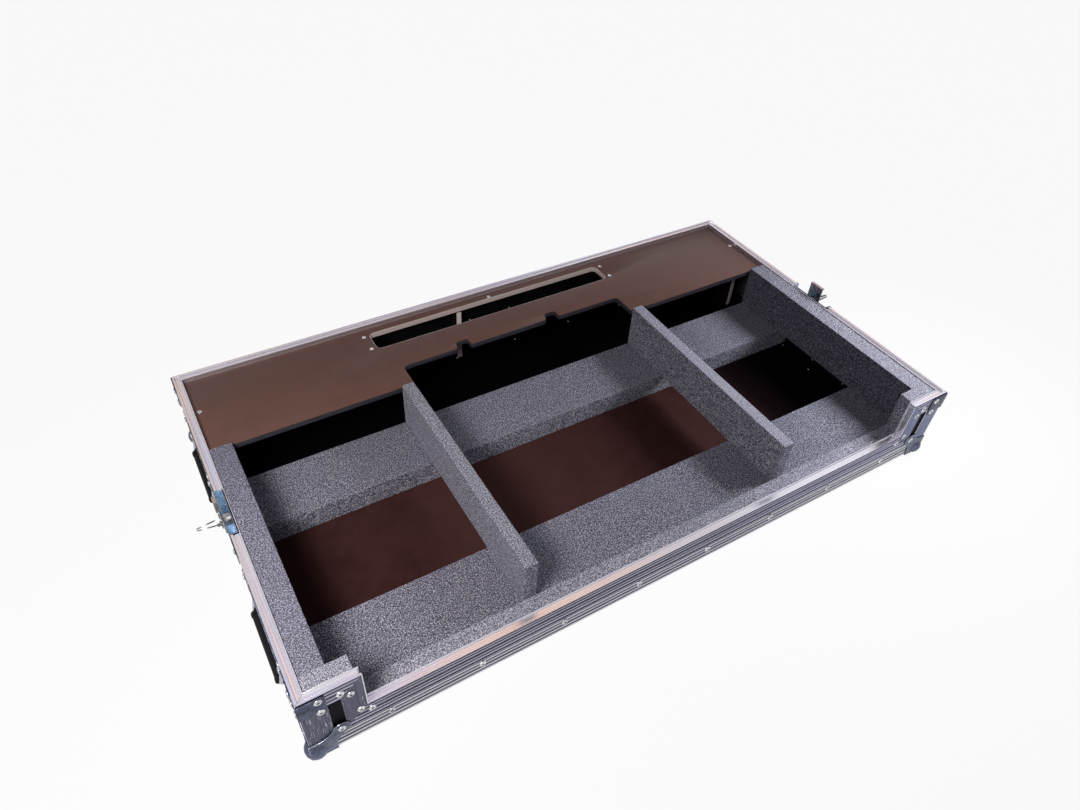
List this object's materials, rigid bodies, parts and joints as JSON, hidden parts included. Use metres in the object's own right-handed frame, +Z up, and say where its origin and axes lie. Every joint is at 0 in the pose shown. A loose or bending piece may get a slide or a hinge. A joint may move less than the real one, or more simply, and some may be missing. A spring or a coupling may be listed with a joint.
{
  "type": "dj flight case base tray",
  "caption": "Open base tray of a flight case with foam bays, a slotted cable shelf, edge profiles, ball corners, sprung side handles and butterfly latches.",
  "frame": {"origin": "on the ground under the middle of the tray, at the underside of the ball corners", "axes": "+X to the right seen from the front, +Y to the rear, +Z up"},
  "size_m": [1.183, 0.635, 0.1642],
  "materials": {
    "aluminium": "ribbed, satin",
    "steel": "zinc plated",
    "brown_ply": "brown phenolic film",
    "black_ply": "black laminate",
    "foam": "open-cell foam",
    "handle_rubber": "matt black"
  },
  "bodies": {
    "tray": {"cable_shelf": "brown_ply", "floor_panel": "brown_ply", "front_bottom_angle": "aluminium", "front_foam": "foam", "front_foam_ledge": "foam", "front_left_ball_corner": "steel", "front_left_brace": "steel", "front_left_corner_angle": "aluminium", "front_panel": "black_ply", "front_right_ball_corner": "steel", "front_right_brace": "steel", "front_right_corner_angle": "aluminium", "front_rim": "aluminium", "left_bottom_angle": "aluminium", "left_foam_divider": "foam", "left_foam_wall": "foam", "left_front_handle_dish": "steel", "left_latch_dish": "steel", "left_notch_rim": "aluminium", "left_panel": "black_ply", "left_rear_handle_dish": "steel", "left_rim": "aluminium", "left_shelf_batten": "brown_ply", "left_shelf_rib": "brown_ply", "left_wing_rim": "aluminium", "middle_shelf_post": "brown_ply", "rear_bottom_angle": "aluminium", "rear_foam_ledge": "foam", "rear_left_ball_corner": "steel", "rear_left_brace": "steel", "rear_left_corner_angle": "aluminium", "rear_panel": "black_ply", "rear_right_ball_corner": "steel", "rear_right_brace": "steel", "rear_right_corner_angle": "aluminium", "rear_rim": "aluminium", "right_bottom_angle": "aluminium", "right_foam_divider": "foam", "right_foam_wall": "foam", "right_front_handle_dish": "steel", "right_latch_dish": "steel", "right_notch_rim": "aluminium", "right_panel": "black_ply", "right_rear_handle_dish": "steel", "right_rim": "aluminium", "right_shelf_batten": "brown_ply", "right_shelf_rib": "brown_ply", "right_wing_rim": "aluminium"},
    "left_front_handle": {"left_front_handle_bail": "handle_rubber"},
    "left_latch_front_leaf": {"left_latch_front_leaf": "steel"},
    "left_latch_hook": {"left_latch_hook": "steel"},
    "left_latch_rear_leaf": {"left_latch_rear_leaf": "steel"},
    "left_latch_spindle": {"left_latch_spindle": "steel"},
    "left_rear_handle": {"left_rear_handle_bail": "handle_rubber"},
    "right_front_handle": {"right_front_handle_bail": "handle_rubber"},
    "right_latch_front_leaf": {"right_latch_front_leaf": "steel"},
    "right_latch_hook": {"right_latch_hook": "steel"},
    "right_latch_rear_leaf": {"right_latch_rear_leaf": "steel"},
    "right_latch_spindle": {"right_latch_spindle": "steel"},
    "right_rear_handle": {"right_rear_handle_bail": "handle_rubber"}
  },
  "joints": [
    {"name": "left_front_handle_lift", "type": "hinge", "parent": "tray", "child": "left_front_handle", "pos_m": [-0.5515, -0.165, 0.0932], "axis": [0, 1, 0], "range_deg": [0, 90], "stiffness_Nm_per_rad": 0.2},
    {"name": "left_rear_handle_lift", "type": "hinge", "parent": "tray", "child": "left_rear_handle", "pos_m": [-0.5515, 0.165, 0.0932], "axis": [0, 1, 0], "range_deg": [0, 90], "stiffness_Nm_per_rad": 0.2},
    {"name": "right_front_handle_lift", "type": "hinge", "parent": "tray", "child": "right_front_handle", "pos_m": [0.5515, -0.165, 0.0932], "axis": [0, -1, 0], "range_deg": [0, 90], "stiffness_Nm_per_rad": 0.2},
    {"name": "right_rear_handle_lift", "type": "hinge", "parent": "tray", "child": "right_rear_handle", "pos_m": [0.5515, 0.165, 0.0932], "axis": [0, -1, 0], "range_deg": [0, 90], "stiffness_Nm_per_rad": 0.2},
    {"name": "left_latch_hook_slide", "type": "slide", "parent": "tray", "child": "left_latch_hook", "axis": [0, 0, 1], "range_m": [-0.00927, 0.00273]},
    {"name": "left_latch_turn", "type": "hinge", "parent": "tray", "child": "left_latch_spindle", "pos_m": [-0.555, 0, 0.1282], "axis": [1, 0, 0], "range_deg": [-41, 139]},
    {"name": "left_latch_rear_leaf_fold", "type": "hinge", "parent": "left_latch_spindle", "child": "left_latch_rear_leaf", "pos_m": [-0.5626, 0.00302, 0.13082], "axis": [0, 0.6561, -0.7547], "range_deg": [0, 94]},
    {"name": "left_latch_front_leaf_fold", "type": "hinge", "parent": "left_latch_spindle", "child": "left_latch_front_leaf", "pos_m": [-0.5626, -0.00302, 0.12558], "axis": [0, -0.6561, 0.7547], "range_deg": [0, 94]},
    {"name": "right_latch_hook_slide", "type": "slide", "parent": "tray", "child": "right_latch_hook", "axis": [0, 0, 1], "range_m": [-0.00927, 0.00273]},
    {"name": "right_latch_turn", "type": "hinge", "parent": "tray", "child": "right_latch_spindle", "pos_m": [0.555, 0, 0.1282], "axis": [1, 0, 0], "range_deg": [-41, 139]},
    {"name": "right_latch_rear_leaf_fold", "type": "hinge", "parent": "right_latch_spindle", "child": "right_latch_rear_leaf", "pos_m": [0.5626, 0.00302, 0.13082], "axis": [0, -0.6561, 0.7547], "range_deg": [0, 94]},
    {"name": "right_latch_front_leaf_fold", "type": "hinge", "parent": "right_latch_spindle", "child": "right_latch_front_leaf", "pos_m": [0.5626, -0.00302, 0.12558], "axis": [0, 0.6561, -0.7547], "range_deg": [0, 94]}
  ],
  "couplings": [
    {"joint": "left_latch_turn", "follows": "left_latch_hook_slide", "rad_per_m": -261.8},
    {"joint": "right_latch_turn", "follows": "right_latch_hook_slide", "rad_per_m": -261.8}
  ]
}
